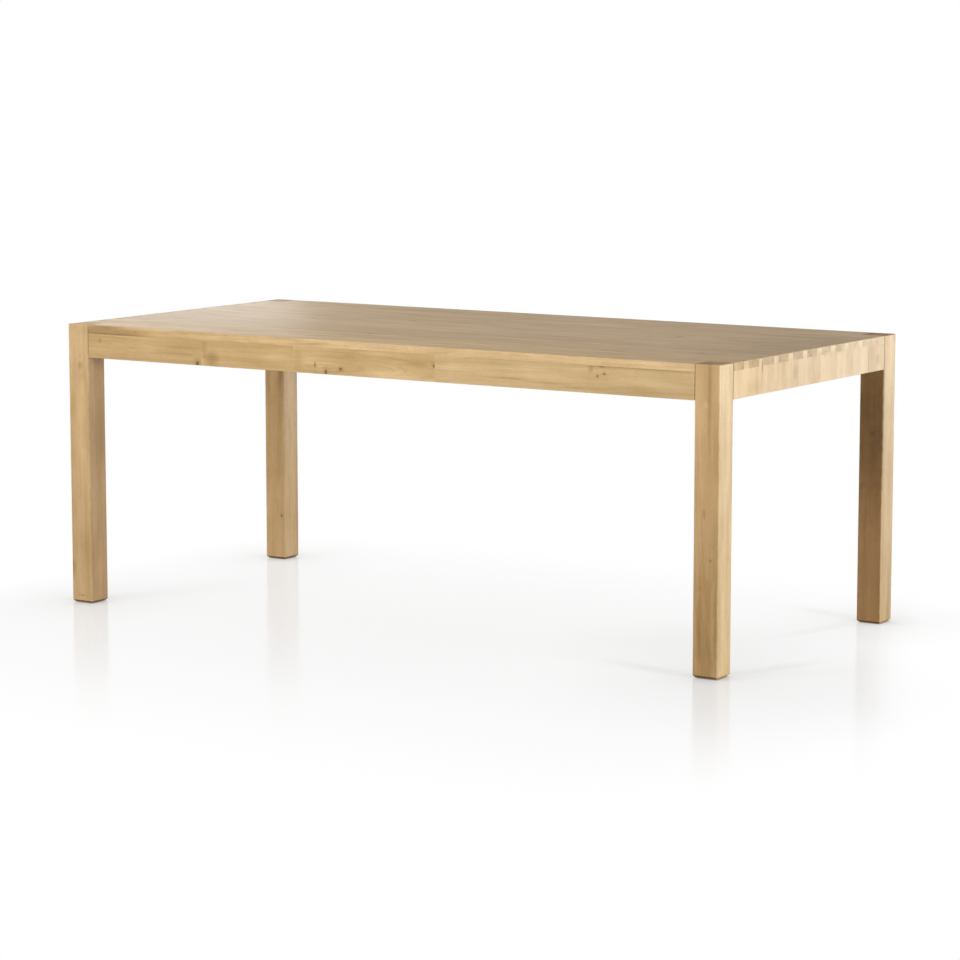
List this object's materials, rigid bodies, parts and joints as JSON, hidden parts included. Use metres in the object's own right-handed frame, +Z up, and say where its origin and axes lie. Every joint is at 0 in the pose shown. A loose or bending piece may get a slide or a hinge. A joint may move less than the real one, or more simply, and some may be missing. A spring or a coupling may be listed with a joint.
{
  "type": "parsons dining table",
  "caption": "Rectangular wooden dining table with square flush corner legs, a boarded top box-jointed to its end aprons, and screw-adjusted levelling feet.",
  "frame": {"origin": "on the floor under the middle of the table", "axes": "+X along the length of the table, -Y its front long side, +Z up"},
  "size_m": [2, 0.95, 0.76],
  "materials": {
    "oak": "satin clear oil on pale oak",
    "beech": "bare turned beech",
    "zinc_plated_steel": "bright zinc plate",
    "foot_steel": "dull zinc plate",
    "pad_nylon": "black nylon"
  },
  "bodies": {
    "table": {"top_board_1": "oak", "top_board_2": "oak", "top_board_3": "oak", "top_board_4": "oak", "top_board_5": "oak", "top_board_6": "oak", "left_end_stave_1": "oak", "left_end_stave_2": "oak", "left_end_stave_3": "oak", "left_end_stave_4": "oak", "left_end_stave_5": "oak", "left_end_stave_6": "oak", "right_end_stave_1": "oak", "right_end_stave_2": "oak", "right_end_stave_3": "oak", "right_end_stave_4": "oak", "right_end_stave_5": "oak", "right_end_stave_6": "oak", "front_rail_1": "oak", "front_rail_2": "oak", "front_rail_3": "oak", "front_rail_4": "oak", "back_rail_1": "oak", "back_rail_2": "oak", "back_rail_3": "oak", "back_rail_4": "oak", "leg_front_left": "oak", "leg_front_right": "oak", "leg_back_left": "oak", "leg_back_right": "oak", "cross_rail_left": "oak", "cross_rail_middle": "oak", "cross_rail_right": "oak", "corner_bracket_front_left": "zinc_plated_steel", "corner_bracket_front_right": "zinc_plated_steel", "corner_bracket_back_left": "zinc_plated_steel", "corner_bracket_back_right": "zinc_plated_steel", "hanger_bolts": "zinc_plated_steel", "hanger_washers": "zinc_plated_steel", "hanger_nuts": "zinc_plated_steel", "bracket_screws": "zinc_plated_steel", "cross_rail_screws": "zinc_plated_steel", "foot_inserts": "zinc_plated_steel", "rail_dowels": "beech"},
    "front_left_pad": {"foot_pad_front_left": "pad_nylon"},
    "front_left_foot": {"levelling_foot_front_left": "foot_steel"},
    "front_right_pad": {"foot_pad_front_right": "pad_nylon"},
    "front_right_foot": {"levelling_foot_front_right": "foot_steel"},
    "back_left_pad": {"foot_pad_back_left": "pad_nylon"},
    "back_left_foot": {"levelling_foot_back_left": "foot_steel"},
    "back_right_pad": {"foot_pad_back_right": "pad_nylon"},
    "back_right_foot": {"levelling_foot_back_right": "foot_steel"}
  },
  "joints": [
    {"name": "front_left_foot_travel", "type": "slide", "parent": "table", "child": "front_left_pad", "axis": [0, 0, -1], "range_m": [0, 0.01]},
    {"name": "front_left_foot_turn", "type": "hinge", "parent": "front_left_pad", "child": "front_left_foot", "pos_m": [-0.966, -0.441, 0.02], "axis": [0, 0, -1], "range_deg": [0, 2880]},
    {"name": "front_right_foot_travel", "type": "slide", "parent": "table", "child": "front_right_pad", "axis": [0, 0, -1], "range_m": [0, 0.01]},
    {"name": "front_right_foot_turn", "type": "hinge", "parent": "front_right_pad", "child": "front_right_foot", "pos_m": [0.966, -0.441, 0.02], "axis": [0, 0, -1], "range_deg": [0, 2880]},
    {"name": "back_left_foot_travel", "type": "slide", "parent": "table", "child": "back_left_pad", "axis": [0, 0, -1], "range_m": [0, 0.01]},
    {"name": "back_left_foot_turn", "type": "hinge", "parent": "back_left_pad", "child": "back_left_foot", "pos_m": [-0.966, 0.441, 0.02], "axis": [0, 0, -1], "range_deg": [0, 2880]},
    {"name": "back_right_foot_travel", "type": "slide", "parent": "table", "child": "back_right_pad", "axis": [0, 0, -1], "range_m": [0, 0.01]},
    {"name": "back_right_foot_turn", "type": "hinge", "parent": "back_right_pad", "child": "back_right_foot", "pos_m": [0.966, 0.441, 0.02], "axis": [0, 0, -1], "range_deg": [0, 2880]}
  ],
  "couplings": [
    {"joint": "front_left_foot_travel", "follows": "front_left_foot_turn", "m_per_rad": 0.00019894},
    {"joint": "front_right_foot_travel", "follows": "front_right_foot_turn", "m_per_rad": 0.00019894},
    {"joint": "back_left_foot_travel", "follows": "back_left_foot_turn", "m_per_rad": 0.00019894},
    {"joint": "back_right_foot_travel", "follows": "back_right_foot_turn", "m_per_rad": 0.00019894}
  ]
}
